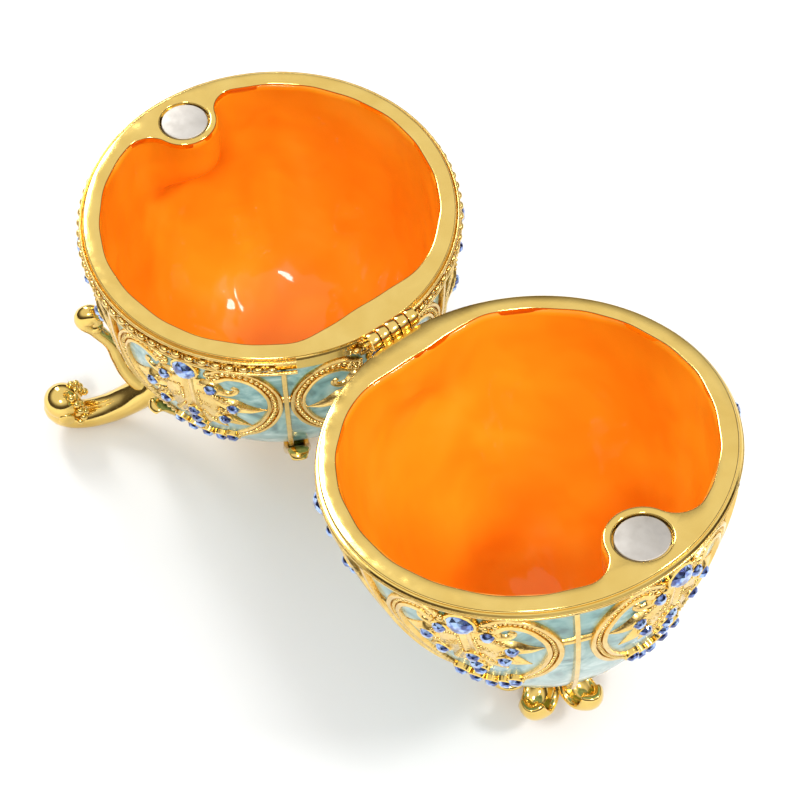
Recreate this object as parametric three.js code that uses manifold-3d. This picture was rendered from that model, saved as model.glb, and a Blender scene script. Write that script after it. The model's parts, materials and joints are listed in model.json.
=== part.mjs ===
// Jewelled egg trinket box, shown open.
// Two cast halves meet at a flat rim and turn on a small barrel hinge. The base stands on three
// S-scroll legs; the lid ends in a crown of six curled petals, which rests on the table when the
// box lies open. Millimetres, +Z up, the hinge on the +X side of the base.
import * as THREE from 'three';
import { mergeVertices } from 'three/addons/utils/BufferGeometryUtils.js';
import Module from 'manifold-3d';

const wasm = await Module();
wasm.setup();

// ---- driving dimensions -------------------------------------------------------------------
const RIM = 22;                       // outer radius of the flat rim
const WALL = 0.092 * RIM;             // wall of both halves
const RIM_GAP = 0.15;                 // each rim stops this far short of the parting plane
const STAND_HEIGHT = 1.8 * RIM;       // table to parting plane
const PANELS = 6;                     // ornamented panels round each half
const PANEL_ANGLE = (2 * Math.PI) / PANELS;
const ROUND_STEPS = 30;               // facets round each shell
const FIT = 0.15;                     // clearance round a piece let into another
const REST_GAP = 0.3;                 // space under a piece that sits on another
const END_TAPER = 0.6;                // a rod's end is this much of its full thickness

const HINGE_X = 1.0525 * RIM;         // hinge line, from the egg's axis
const OPEN_ANGLE = THREE.MathUtils.degToRad(168.3);
const KNUCKLE_RADIUS = 0.05 * RIM;
const PIN_RADIUS = 0.45;
const KNUCKLE_COUNT = 5;
const KNUCKLE_LENGTH = 1.2;
const KNUCKLE_GAP = 0.12;
const LEAF_THICKNESS = 0.8;

const MAGNET_CENTRE = 0.805 * RIM;
const MAGNET_RADIUS = 0.13 * RIM;
const MAGNET_HEIGHT = 2;
const LUG_RADIUS = 0.18 * RIM;
const LUG_DEPTH = 0.27 * RIM;
const LUG_FILLET = 0.14 * RIM;
const PAD_CHORD = 0.83 * RIM;         // straight inner edge of the hinge pad
const PAD_DEPTH = 0.13 * RIM;

// Each half: how deep it is, how full its sides are, and how its ornament is stretched to fit.
const BASE = { depth: 1.55 * RIM, power: 2.9, bandOut: 0.045, bandTop: 0.022, bandFoot: 0.115,
  spread: 1.17, drop: 0.06, ribEnd: 1.12, gemDepth: 0.19 };
const LID = { depth: 1.62 * RIM, power: 1.45, bandOut: 0.018, bandTop: 0.012, bandFoot: 0.055,
  spread: 1.0, drop: 0, ribEnd: 1.3, gemDepth: 0.125 };

const RIB_WIDTH = 0.034 * RIM;
const RIB_PROUD = 0.022 * RIM;
const SCROLL_RADIUS = 0.036 * RIM;    // rounded C-scroll, sunk by SCROLL_SINK into the wall
const SCROLL_SINK = 0.014 * RIM;
const GEM_RADIUS = 0.066 * RIM;
const BEZEL_PROUD = 0.022 * RIM;

const LEG_RADIUS = 0.084 * RIM;
const LEG_ANGLES = [0, 120, 240];
const PETAL_HALF_WIDTH = 0.09 * RIM;

// ---- materials ----------------------------------------------------------------------------
const metal = (color, roughness) => new THREE.MeshStandardMaterial({ color, roughness, metalness: 1 });
const GOLD = metal(0xe8c45c, 0.22);
const STEEL = metal(0xbdb6aa, 0.35);
const BLUE_GLASS = new THREE.MeshStandardMaterial({ color: 0x3a63c8, roughness: 0.08, metalness: 0 });

// ---- solids: closed three.js geometry to manifold and back --------------------------------
function solid(geometry) {
  const bare = geometry.index ? geometry.clone() : mergeVertices(geometry);
  bare.deleteAttribute('normal');
  bare.deleteAttribute('uv');
  const merged = mergeVertices(bare, 1e-4);
  const triVerts = dropSlivers(merged.index.array);
  const vertProperties = new Float32Array(merged.attributes.position.array);
  return new wasm.Manifold(new wasm.Mesh({ numProp: 3, vertProperties, triVerts }));
}

function dropSlivers(index) {
  const kept = [];
  for (let i = 0; i < index.length; i += 3) {
    const [a, b, c] = [index[i], index[i + 1], index[i + 2]];
    if (a !== b && b !== c && c !== a) kept.push(a, b, c);
  }
  return new Uint32Array(kept);
}

function geometryOf(body) {
  const mesh = body.getMesh();
  const geometry = new THREE.BufferGeometry();
  geometry.setAttribute('position', new THREE.BufferAttribute(new Float32Array(mesh.vertProperties), 3));
  geometry.setIndex(new THREE.BufferAttribute(new Uint32Array(mesh.triVerts), 1));
  return geometry;
}

const joined = (bodies) => bodies.reduce((whole, body) => whole.add(body));

function turned(geometry, angle) {
  return geometry.rotateZ(angle);
}

function box(width, depth, height, x, y, z) {
  return new THREE.BoxGeometry(width, depth, height).translate(x, y, z);
}

function rodAlongY(radius, length, x, y, z, sides = 12) {
  return new THREE.CylinderGeometry(radius, radius, length, sides).translate(x, y, z);
}

function uprightRod(radius, height, x, y, z, sides = 18) {
  return new THREE.CylinderGeometry(radius, radius, height, sides).rotateX(Math.PI / 2).translate(x, y, z);
}

// A rod of changing thickness bent along a curve in the XZ plane: a cylinder whose rings are set
// on the curve. A flatness under 1 makes it a strap, thin in that plane and wide along Y.
function bentRod(curve, thicknessAt, steps, sides, flatness = 1) {
  const geometry = new THREE.CylinderGeometry(1, 1, 1, sides, steps);
  const frames = curve.computeFrenetFrames(steps, false);
  const position = geometry.attributes.position;
  const point = new THREE.Vector3();
  for (let i = 0; i < position.count; i++) {
    const along = position.getY(i) + 0.5;
    const ring = Math.round(along * steps);
    const fromEnd = Math.min(ring, steps - ring);
    const radius = thicknessAt(along) * (fromEnd === 0 ? END_TAPER : 1);
    point.copy(curve.getPointAt(along));
    point.addScaledVector(frames.normals[ring], position.getX(i) * radius);
    point.addScaledVector(frames.binormals[ring], position.getZ(i) * radius * flatness);
    position.setXYZ(i, point.x, point.y, point.z);
  }
  return facesOut(geometry);
}

function facesOut(geometry) {
  const merged = mergeVertices(withoutShading(geometry), 1e-4);
  const index = merged.index.array;
  const position = merged.attributes.position;
  const [a, b, c] = [new THREE.Vector3(), new THREE.Vector3(), new THREE.Vector3()];
  let volume = 0;
  for (let i = 0; i < index.length; i += 3) {
    a.fromBufferAttribute(position, index[i]);
    b.fromBufferAttribute(position, index[i + 1]);
    c.fromBufferAttribute(position, index[i + 2]);
    volume += a.dot(b.cross(c));
  }
  if (volume < 0) index.reverse();
  return merged;
}

function withoutShading(geometry) {
  const bare = geometry.clone();
  bare.deleteAttribute('normal');
  bare.deleteAttribute('uv');
  return bare;
}

function smoothCurve(points) {
  return new THREE.CatmullRomCurve3(points, false, 'centripetal');
}

// ---- the egg's profile --------------------------------------------------------------------
// Halves are built dome up, their depth measured along +Z from the parting plane.
function radiusAt(half, depth, inset = 0) {
  const share = Math.min(1, Math.max(0, depth / (half.depth - inset)));
  return (RIM - inset) * Math.sqrt(1 - share ** half.power);
}

function onShell(half, angle, depth, proud) {
  const step = 0.05;
  const slope = (radiusAt(half, depth + step) - radiusAt(half, depth - step)) / (2 * step);
  const size = Math.hypot(1, slope);
  const radius = radiusAt(half, depth) + proud / size;
  const height = depth - (proud * slope) / size;
  return new THREE.Vector3(radius * Math.cos(angle), radius * Math.sin(angle), height);
}

// A place in a panel, across and down from the middle of its rim edge, in rim radii.
function inPanel(half, across, down, proud) {
  const depth = (down + half.drop) * RIM;
  const angle = (across * half.spread * RIM) / radiusAt(half, depth);
  return onShell(half, angle, depth, proud);
}

function shellProfile(half) {
  const points = [new THREE.Vector2(0, half.depth)];
  const outerRows = 7;
  for (let i = 1; i < outerRows; i++) {
    const share = Math.cos((Math.PI / 2) * (i / outerRows));
    const depth = Math.max(half.bandFoot * RIM, half.depth * share);
    points.push(new THREE.Vector2(radiusAt(half, depth), depth));
  }
  const band = RIM * (1 + half.bandOut);
  points.push(new THREE.Vector2(RIM, half.bandFoot * RIM));
  points.push(new THREE.Vector2(band, half.bandFoot * RIM * 0.82));
  points.push(new THREE.Vector2(band, half.bandTop * RIM * 1.9));
  points.push(new THREE.Vector2(RIM, half.bandTop * RIM * 1.2));
  points.push(new THREE.Vector2(RIM - 0.25, RIM_GAP));
  const inner = RIM - WALL;
  points.push(new THREE.Vector2(inner + 0.25, RIM_GAP));
  const innerRows = 6;
  for (let i = 1; i < innerRows; i++) {
    const depth = (half.depth - WALL) * Math.sin((Math.PI / 2) * (i / innerRows) ** 1.15);
    points.push(new THREE.Vector2(radiusAt(half, depth, WALL), depth));
  }
  points.push(new THREE.Vector2(0, half.depth - WALL));
  return points;
}

function lathe(points, steps = ROUND_STEPS) {
  return facesOut(new THREE.LatheGeometry(points, steps).rotateX(Math.PI / 2));
}

// The space inside the outer skin, used to trim what is added to the wall from within.
function outerBody(half) {
  const points = [new THREE.Vector2(0, half.depth - 0.5)];
  for (let i = 1; i <= 10; i++) {
    const depth = half.depth * Math.cos((Math.PI / 2) * (i / 10));
    points.push(new THREE.Vector2(Math.max(0.5, radiusAt(half, depth) - 0.6), Math.max(RIM_GAP, depth - 0.5)));
  }
  points.push(new THREE.Vector2(0, RIM_GAP));
  return solid(lathe(points));
}

// ---- ornament cast on each panel ----------------------------------------------------------
function rib(half) {
  const [outer, inner] = [[], []];
  const steps = 5;
  for (let i = 0; i <= steps; i++) {
    const depth = RIM * (0.06 + (half.ribEnd - 0.06) * (i / steps));
    const skin = onShell(half, 0, depth, RIB_PROUD);
    const root = onShell(half, 0, depth, -WALL / 2);
    outer.push(new THREE.Vector2(skin.x, skin.z));
    inner.unshift(new THREE.Vector2(root.x, root.z));
  }
  const side = new THREE.ExtrudeGeometry(new THREE.Shape([...outer, ...inner]), {
    depth: RIB_WIDTH, bevelEnabled: false });
  return side.translate(0, 0, -RIB_WIDTH / 2).rotateX(Math.PI / 2);
}

function scroll(half, side) {
  const points = [];
  const [first, last, steps] = [-125, 100, 5];
  for (let i = 0; i <= steps; i++) {
    const turn = THREE.MathUtils.degToRad(first + (last - first) * (i / steps));
    const across = 0.225 + 0.2 * Math.cos(turn) - 0.04 * (1 + Math.sin(turn));
    const down = 0.43 + 0.35 * Math.sin(turn);
    points.push(inPanel(half, side * across, down, -SCROLL_SINK));
  }
  return tube(smoothCurve(points), SCROLL_RADIUS, steps, 4);
}

function tube(curve, radius, steps, sides) {
  const corners = [];
  for (let i = 0; i < sides; i++) {
    const turn = (2 * Math.PI * i) / sides;
    corners.push(new THREE.Vector2(radius * Math.cos(turn), radius * Math.sin(turn)));
  }
  return facesOut(new THREE.ExtrudeGeometry(new THREE.Shape(corners), {
    steps, extrudePath: curve, bevelEnabled: false }));
}

// A pointed leaf lying on the skin, from its root to its tip.
function leaf(half, root, tip, halfWidth) {
  const start = inPanel(half, root[0], root[1], 0);
  const end = inPanel(half, tip[0], tip[1], 0);
  const middle = start.clone().lerp(end, 0.5);
  const skin = inPanel(half, (root[0] + tip[0]) / 2, (root[1] + tip[1]) / 2, 0.5);
  const under = inPanel(half, (root[0] + tip[0]) / 2, (root[1] + tip[1]) / 2, 0);
  const along = end.clone().sub(start);
  const out = skin.sub(under).normalize();
  const across = new THREE.Vector3().crossVectors(out, along).normalize();
  const basis = new THREE.Matrix4().makeBasis(along.clone().normalize(), across, out);
  const shape = new THREE.OctahedronGeometry(1);
  shape.scale(along.length() / 2, halfWidth * RIM, 0.045 * RIM);
  return facesOut(shape.applyMatrix4(basis).translate(middle.x, middle.y, middle.z));
}

function palmette(half) {
  const leaves = [leaf(half, [0, 0.16], [0, 0.8], 0.07)];
  for (const side of [-1, 1]) {
    leaves.push(leaf(half, [side * 0.02, 0.3], [side * 0.32, 0.34], 0.05));
    leaves.push(leaf(half, [side * 0.03, 0.42], [side * 0.25, 0.57], 0.045));
  }
  return leaves;
}

// Turns a piece made upright on +Z to stand on the skin where the large gem sits.
function onGemSeat(half, geometry, proud) {
  const place = onShell(half, 0, half.gemDepth * RIM, proud);
  const out = onShell(half, 0, half.gemDepth * RIM, proud + 1).sub(place);
  const turn = new THREE.Quaternion().setFromUnitVectors(new THREE.Vector3(0, 0, 1), out.normalize());
  return geometry.applyQuaternion(turn).translate(place.x, place.y, place.z);
}

function frustum(lower, upper, height, sides) {
  return new THREE.CylinderGeometry(upper, lower, height, sides).rotateX(Math.PI / 2);
}

function bezel(half) {
  return onGemSeat(half, frustum(GEM_RADIUS * 1.5, GEM_RADIUS * 1.22, 2 * BEZEL_PROUD, 8), 0);
}

function gem(half) {
  const crown = 0.7;
  const seat = BEZEL_PROUD + REST_GAP / 2;
  return onGemSeat(half, frustum(GEM_RADIUS, GEM_RADIUS * 0.55, crown, 8), seat + crown / 2);
}

// ---- what is cast inside the rim ----------------------------------------------------------
// The magnet lug in plan: a round boss run into the rim with hollow fillets.
function lugShape() {
  const inner = RIM - WALL;
  const toFillet = inner - LUG_FILLET;
  const reach = LUG_RADIUS + LUG_FILLET;
  const cosine = (toFillet ** 2 + MAGNET_CENTRE ** 2 - reach ** 2) / (2 * toFillet * MAGNET_CENTRE);
  const swing = Math.acos(cosine);
  const centre = new THREE.Vector2(toFillet * Math.cos(swing), toFillet * Math.sin(swing));
  const fromLug = Math.atan2(centre.y, centre.x - MAGNET_CENTRE);
  const shape = new THREE.Shape();
  shape.absarc(0, 0, RIM - 0.7, -swing, swing, false);
  shape.absarc(centre.x, centre.y, LUG_FILLET, swing, fromLug - Math.PI, true);
  shape.absarc(MAGNET_CENTRE, 0, LUG_RADIUS, fromLug, 2 * Math.PI - fromLug, false);
  shape.absarc(centre.x, -centre.y, LUG_FILLET, Math.PI - fromLug, -swing, true);
  return shape;
}

function magnetLug() {
  const boss = new THREE.ExtrudeGeometry(lugShape(), { depth: LUG_DEPTH, bevelEnabled: false, curveSegments: 3 });
  boss.translate(0, 0, RIM_GAP);
  const tail = new THREE.SphereGeometry(LUG_RADIUS * 0.98, 10, 4);
  tail.rotateX(Math.PI / 2).scale(1, 1, 1.5).translate(MAGNET_CENTRE, 0, LUG_DEPTH);
  return turned(geometryOf(solid(boss).add(solid(tail))), Math.PI);
}

function hingePad() {
  const swing = Math.acos(PAD_CHORD / (RIM - 0.7));
  const shape = new THREE.Shape();
  shape.absarc(0, 0, RIM - 0.7, -swing, swing, false);
  return new THREE.ExtrudeGeometry(shape, { depth: PAD_DEPTH, bevelEnabled: false, curveSegments: 8 })
    .translate(0, 0, RIM_GAP);
}

function magnetPocket() {
  const depth = MAGNET_HEIGHT + REST_GAP;
  return uprightRod(MAGNET_RADIUS + FIT, 2 * depth, -MAGNET_CENTRE, 0, RIM_GAP);
}

function hingeRoom() {
  const length = KNUCKLE_COUNT * (KNUCKLE_LENGTH + KNUCKLE_GAP) + 1;
  return rodAlongY(KNUCKLE_RADIUS + 0.35, length, HINGE_X, 0, 0);
}

function leafSlot() {
  const wide = leafWidth() + 2 * FIT;
  return box(leafReach() + 3, wide, LEAF_THICKNESS + 2 * FIT, HINGE_X - leafReach() / 2 + 1, 0, leafHeight());
}

function shell(half) {
  const wall = solid(lathe(shellProfile(half)));
  const inside = joined([solid(magnetLug()), solid(hingePad())]).intersect(outerBody(half));
  const ornament = [];
  for (let panel = 0; panel < PANELS; panel++) {
    const middle = panel * PANEL_ANGLE;
    ornament.push(solid(turned(rib(half), middle + PANEL_ANGLE / 2)));
    for (const piece of [scroll(half, -1), scroll(half, 1), bezel(half), ...palmette(half)]) {
      ornament.push(solid(turned(piece, middle)));
    }
  }
  const body = joined([wall, inside, ...ornament]);
  return body.subtract(solid(magnetPocket())).subtract(solid(hingeRoom())).subtract(solid(leafSlot()));
}

// ---- hinge --------------------------------------------------------------------------------
function leafReach() {
  return HINGE_X - (RIM - 1.7);
}

function leafWidth() {
  return KNUCKLE_COUNT * (KNUCKLE_LENGTH + KNUCKLE_GAP) - KNUCKLE_GAP;
}

function leafHeight() {
  return 0.35 + LEAF_THICKNESS / 2;
}

function knuckleAt(place) {
  return (place - (KNUCKLE_COUNT - 1) / 2) * (KNUCKLE_LENGTH + KNUCKLE_GAP);
}

// A leaf let into the pad, with a knuckle at every second place along the barrel.
function hingeLeaf(places) {
  const plateDepth = 1.2;
  const plateX = HINGE_X - leafReach() + plateDepth / 2;
  const parts = [solid(box(plateDepth, leafWidth(), LEAF_THICKNESS, plateX, 0, leafHeight()))];
  for (const place of places) {
    const y = knuckleAt(place);
    const armX = HINGE_X - leafReach() / 2;
    parts.push(solid(box(leafReach(), KNUCKLE_LENGTH, LEAF_THICKNESS, armX, y, leafHeight())));
    parts.push(solid(rodAlongY(KNUCKLE_RADIUS, KNUCKLE_LENGTH, HINGE_X, y, 0)));
  }
  const bore = rodAlongY(PIN_RADIUS + FIT, leafWidth() + 2, HINGE_X, 0, 0, 8);
  return joined(parts).subtract(solid(bore));
}

// ---- legs, leaf collar and crown ----------------------------------------------------------
const inPlane = (out, height) => new THREE.Vector3(out * RIM, 0, height * RIM);

// Upper scroll: a ball that curls away from the shell, then a strip running down to the foot.
function legScroll() {
  const curve = smoothCurve([inPlane(1.045, -0.85), inPlane(1.06, -0.785), inPlane(1.11, -0.81),
    inPlane(1.06, -0.93), inPlane(0.995, -1.06), inPlane(0.97, -1.22), inPlane(0.93, -1.38),
    inPlane(0.87, -1.5), inPlane(0.78, -1.56)]);
  const thickness = (along) => RIM * (0.05 - 0.05 * along + 0.075 * along ** 2);
  return bentRod(curve, thickness, 11, 6);
}

// Lower scroll: springs from under the shell, sweeps out to the table and curls up in a volute.
function legFoot() {
  const curve = smoothCurve([inPlane(0.59, -1.49), inPlane(0.72, -1.55), inPlane(0.9, -1.62),
    inPlane(1.08, -1.69), inPlane(1.25, -1.735), inPlane(1.375, -1.705), inPlane(1.41, -1.63),
    inPlane(1.36, -1.58), inPlane(1.3, -1.61)]);
  const thickness = (along) => LEG_RADIUS * (1 - 0.2 * Math.max(0, along - 0.75) / 0.25);
  return bentRod(curve, thickness, 13, 6);
}

// Two short bridges that hold the strip to the shell.
function legTabs() {
  const tabs = [];
  for (const height of [-1.07, -1.22]) {
    const skin = radiusAt(BASE, -height * RIM) + REST_GAP;
    const strip = 0.97 * RIM;
    tabs.push(solid(box(strip - skin, 0.06 * RIM, 0.04 * RIM, (strip + skin) / 2, 0, height * RIM)));
  }
  return joined(tabs);
}

function belowTable() {
  return solid(box(8 * RIM, 8 * RIM, RIM, 0, 0, -STAND_HEIGHT - RIM / 2));
}

function leg() {
  const whole = joined([solid(legScroll()), solid(legFoot()), legTabs()]);
  return whole.subtract(belowTable());
}

// A shallow cup under the shell with six leaves rising from it, their tips curled away.
function collar() {
  const cup = [[0, -1.62], [0.32, -1.605], [0.48, -1.54], [0.55, -1.44], [0.5, -1.43], [0.3, -1.52],
    [0, -1.575]];
  const parts = [solid(lathe(cup.map(([out, height]) => new THREE.Vector2(out * RIM, height * RIM)), 15))];
  const curve = smoothCurve([inPlane(0.42, -1.53), inPlane(0.6, -1.47), inPlane(0.75, -1.34),
    inPlane(0.83, -1.2), inPlane(0.89, -1.16), inPlane(0.9, -1.21)]);
  const width = (along) => RIM * (0.06 + 0.06 * Math.sin(Math.PI * along ** 0.8));
  for (let panel = 0; panel < PANELS; panel++) {
    const tip = bentRod(curve, width, 6, 6, 0.35);
    parts.push(solid(turned(tip, (panel + 0.5) * PANEL_ANGLE)));
  }
  return joined(parts);
}

// One spoon-shaped petal, rising along the lid's axis and curling outwards at its end.
function petal() {
  const curve = smoothCurve([inPlane(0.1, 1.675), inPlane(0.15, 1.7), inPlane(0.18, 1.77),
    inPlane(0.2, 1.86), inPlane(0.25, 1.935), inPlane(0.305, 1.91), inPlane(0.3, 1.86)]);
  const width = (along) => PETAL_HALF_WIDTH * (0.7 + 0.3 * Math.sin(Math.PI * along ** 0.7));
  return bentRod(curve, width, 6, 6, 0.4);
}

function crown() {
  const hub = [[0, 1.637], [0.13, 1.617], [0.185, 1.598], [0.2, 1.63], [0.15, 1.71], [0, 1.73]];
  const parts = [solid(lathe(hub.map(([out, height]) => new THREE.Vector2(out * RIM, height * RIM)), 12))];
  for (let panel = 0; panel < PANELS; panel++) {
    parts.push(solid(turned(petal(), panel * PANEL_ANGLE)));
  }
  return joined(parts);
}

// ---- assembly -----------------------------------------------------------------------------
function mesh(name, geometry, material) {
  const piece = new THREE.Mesh(geometry, material);
  piece.name = name;
  return piece;
}

function magnet(name) {
  const top = RIM_GAP;
  return mesh(name, uprightRod(MAGNET_RADIUS, MAGNET_HEIGHT, -MAGNET_CENTRE, 0, top + MAGNET_HEIGHT / 2), STEEL);
}

function addHalf(group, name, half) {
  group.add(mesh(`${name}_shell`, geometryOf(shell(half)), GOLD));
  group.add(magnet(`${name}_magnet`));
  for (let panel = 0; panel < PANELS; panel++) {
    group.add(mesh(`${name}_gem_${panel + 1}`, turned(gem(half), panel * PANEL_ANGLE), BLUE_GLASS));
  }
}

function makeBase() {
  const base = new THREE.Group();
  const bowl = new THREE.Group();
  addHalf(bowl, 'base', BASE);
  bowl.add(mesh('base_hinge_leaf', geometryOf(hingeLeaf([0, 2, 4])), GOLD));
  bowl.rotation.x = Math.PI;
  base.add(bowl);
  base.add(mesh('hinge_pin', rodAlongY(PIN_RADIUS, leafWidth() + 0.8, HINGE_X, 0, 0, 8), GOLD));
  const oneLeg = geometryOf(leg());
  LEG_ANGLES.forEach((degrees, i) => {
    base.add(mesh(`leg_${i + 1}`, turned(oneLeg.clone(), THREE.MathUtils.degToRad(degrees)), GOLD));
  });
  base.add(mesh('leaf_collar', geometryOf(collar()), GOLD));
  return base;
}

function makeLid() {
  const pieces = new THREE.Group();
  addHalf(pieces, 'lid', LID);
  pieces.add(mesh('lid_hinge_leaf', geometryOf(hingeLeaf([1, 3])), GOLD));
  pieces.add(mesh('crown_finial', geometryOf(crown()), GOLD));
  pieces.position.x = -HINGE_X;
  const lid = new THREE.Group();
  lid.add(pieces);
  lid.position.x = HINGE_X;
  lid.rotation.y = OPEN_ANGLE;
  return lid;
}

const egg = new THREE.Group();
egg.add(makeBase(), makeLid());
egg.position.z = STAND_HEIGHT;
egg.updateMatrixWorld(true);
const bounds = new THREE.Box3().setFromObject(egg, true);
egg.position.x = -(bounds.min.x + bounds.max.x) / 2;

export default egg;
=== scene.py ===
import json
import math

import bpy
from mathutils import Matrix, Vector


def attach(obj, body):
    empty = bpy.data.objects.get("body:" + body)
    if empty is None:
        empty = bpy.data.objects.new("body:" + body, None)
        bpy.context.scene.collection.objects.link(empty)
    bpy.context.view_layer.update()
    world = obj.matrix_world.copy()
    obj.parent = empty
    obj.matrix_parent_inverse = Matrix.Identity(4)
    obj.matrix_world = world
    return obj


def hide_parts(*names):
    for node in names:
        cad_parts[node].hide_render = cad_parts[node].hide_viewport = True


# ---- frame ------------------------------------------------------------------------------------
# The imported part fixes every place: the hinge line, and the axis and parting plane of each half.
# Both halves are modelled dome up round their own axis, then set down open, as the part stands.
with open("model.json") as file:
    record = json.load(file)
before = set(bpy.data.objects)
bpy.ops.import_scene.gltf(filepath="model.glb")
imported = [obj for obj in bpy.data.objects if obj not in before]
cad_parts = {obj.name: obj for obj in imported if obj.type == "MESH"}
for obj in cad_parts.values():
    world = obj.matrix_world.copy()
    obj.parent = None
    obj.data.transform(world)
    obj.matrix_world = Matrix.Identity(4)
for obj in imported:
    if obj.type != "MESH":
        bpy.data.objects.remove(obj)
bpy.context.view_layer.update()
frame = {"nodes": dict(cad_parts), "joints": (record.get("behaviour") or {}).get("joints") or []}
bpy.ops.object.select_all(action="DESELECT")

MM = 0.001
RIM = 22 * MM                        # outer radius of the flat rim
WALL = 0.092 * RIM
RIM_GAP = 0.15 * MM                  # each rim stops this far short of the parting plane
HINGE_REACH = 1.0525 * RIM           # the egg's axis to the hinge line
STAND = 1.8 * RIM                    # the base's parting plane to the table
CUT_TOLERANCE = 1e-7                 # finer than Blender's own, which would leave 0.1 mm uncut
PANELS = 6
PANEL_ANGLE = 2 * math.pi / PANELS

lid_hinge = frame["joints"][0]
hinge = Vector(lid_hinge["pos_m"])
open_angle = math.radians(-lid_hinge["range_deg"][0])
base_centre = Vector((hinge.x - HINGE_REACH, 0, hinge.z))
HALVES = {
    "base": {
        "depth": 1.55 * RIM, "power": 2.9, "spread": 1.17, "drop": 0.06, "rib_end": 1.12,
        "gem_down": 0.19, "band_foot": 0.115 * RIM, "turn": math.radians(2.5),
        "place": Matrix.Translation(base_centre) @ Matrix.Rotation(math.pi, 4, "X"),
    },
    "lid": {
        "depth": 1.62 * RIM, "power": 1.45, "spread": 1.0, "drop": 0.0, "rib_end": 1.3,
        "gem_down": 0.125, "band_foot": 0.055 * RIM, "turn": math.radians(-2.0),
        "place": Matrix.Translation(hinge) @ Matrix.Rotation(open_angle, 4, "Y")
        @ Matrix.Translation((-HINGE_REACH, 0, 0)),
    },
}


def radius_at(half, depth, inset=0.0):
    """Radius of a half's skin at a depth below its rim, or of a skin inset within it."""
    share = min(1.0, max(0.0, depth / (half["depth"] - inset)))
    return (RIM - inset) * math.sqrt(1 - share ** half["power"])


def on_skin(half, angle, depth, proud):
    """A point standing proud of a half's outer skin, dome up."""
    step = 0.05 * MM
    slope = (radius_at(half, depth + step) - radius_at(half, depth - step)) / (2 * step)
    size = math.hypot(1, slope)
    radius = radius_at(half, depth) + proud / size
    return Vector((radius * math.cos(angle), radius * math.sin(angle), depth - proud * slope / size))


# ---- studio -----------------------------------------------------------------------------------
# A pale floor, a white sky, three small soft panels that show in the polished faces, and a camera
# that looks down on the open box from the front right.
CAMERA_AZIMUTH = math.radians(51.98)
CAMERA_ELEVATION = math.radians(55.85)
CAMERA_ROLL = math.radians(-0.5)
CAMERA_LENS = 80.35
CAMERA_PLACE = Vector((5.33785, -3.29757, 7.33205)) * RIM


def studio_camera():
    back = Vector((
        math.sin(CAMERA_AZIMUTH) * math.cos(CAMERA_ELEVATION),
        -math.cos(CAMERA_AZIMUTH) * math.cos(CAMERA_ELEVATION),
        math.sin(CAMERA_ELEVATION),
    ))
    right = Vector((math.cos(CAMERA_AZIMUTH), math.sin(CAMERA_AZIMUTH), 0))
    turn = Matrix((right, back.cross(right), back)).transposed() @ Matrix.Rotation(CAMERA_ROLL, 3, "Z")
    bpy.ops.object.camera_add(location=base_centre + CAMERA_PLACE)
    camera = bpy.context.object
    camera.rotation_euler = turn.to_euler()
    camera.data.lens = CAMERA_LENS
    camera.data.sensor_width = 36
    camera.data.clip_start = 0.01
    bpy.context.scene.camera = camera


def soft_panel(name, place, size, power):
    bpy.ops.object.light_add(type="AREA", location=place)
    lamp = bpy.context.object
    lamp.name = name
    lamp.data.shape = "RECTANGLE"
    lamp.data.size, lamp.data.size_y = size
    lamp.data.energy = power
    lamp.rotation_euler = (-Vector(place)).to_track_quat("-Z", "Y").to_euler()


def studio_floor():
    bpy.ops.mesh.primitive_plane_add(size=4)
    floor = bpy.context.object
    floor.name = "floor"
    paint = bpy.data.materials.new("floor paint")
    paint.use_nodes = True
    shader = paint.node_tree.nodes["Principled BSDF"]
    shader.inputs["Base Color"].default_value = (0.93, 0.93, 0.93, 1)
    shader.inputs["Roughness"].default_value = 0.9
    shader.inputs["Specular IOR Level"].default_value = 0.1
    floor.data.materials.append(paint)


def studio_sky():
    """White overhead, falling to grey at the horizon, so that polished metal has something to show."""
    world = bpy.data.worlds.new("studio")
    world.use_nodes = True
    nodes, links = world.node_tree.nodes, world.node_tree.links
    place = nodes.new("ShaderNodeTexCoord")
    split = nodes.new("ShaderNodeSeparateXYZ")
    ramp = nodes.new("ShaderNodeValToRGB")
    links.new(place.outputs["Generated"], split.inputs[0])
    links.new(split.outputs["Z"], ramp.inputs[0])
    links.new(ramp.outputs[0], nodes["Background"].inputs["Color"])
    ramp.color_ramp.elements[0].position = 0.02
    ramp.color_ramp.elements[0].color = (0.035, 0.025, 0.015, 1)
    ramp.color_ramp.elements[1].position = 0.60
    ramp.color_ramp.elements[1].color = (1, 1, 1, 1)
    middle = ramp.color_ramp.elements.new(0.32)
    middle.color = (0.16, 0.14, 0.12, 1)
    nodes["Background"].inputs["Strength"].default_value = 0.92
    bpy.context.scene.world = world


studio_camera()
studio_floor()
studio_sky()
soft_panel("panel_right", (0.34, 0.27, 0.54), (0.13, 0.10), 1.5)
soft_panel("panel_front", (0.29, -0.31, 0.55), (0.13, 0.10), 1.5)
soft_panel("panel_back", (-0.46, 0.05, 0.30), (0.10, 0.26), 1.3)
bpy.context.scene.view_settings.view_transform = "Standard"

# ---- rims -------------------------------------------------------------------------------------
# The flat rim of each half, cast in one with the hinge pad and the magnet lug, ground flat on the
# parting plane and plated. The magnet's pocket goes through it, and its edges are rounded over.
RIM_THICK = 1.0 * MM
EDGE_ROUND = 0.22 * MM
MAGNET_CENTRE = 0.805 * RIM
MAGNET_RADIUS = 0.13 * RIM
LUG_RADIUS = 0.18 * RIM
LUG_FILLET = 0.14 * RIM
PAD_CHORD = 0.83 * RIM


def pick(piece):
    bpy.ops.object.select_all(action="DESELECT")
    piece.select_set(True)
    bpy.context.view_layer.objects.active = piece


def edit(piece, mode="SELECT"):
    pick(piece)
    bpy.ops.object.mode_set(mode="EDIT")
    bpy.ops.mesh.select_all(action=mode)


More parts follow.
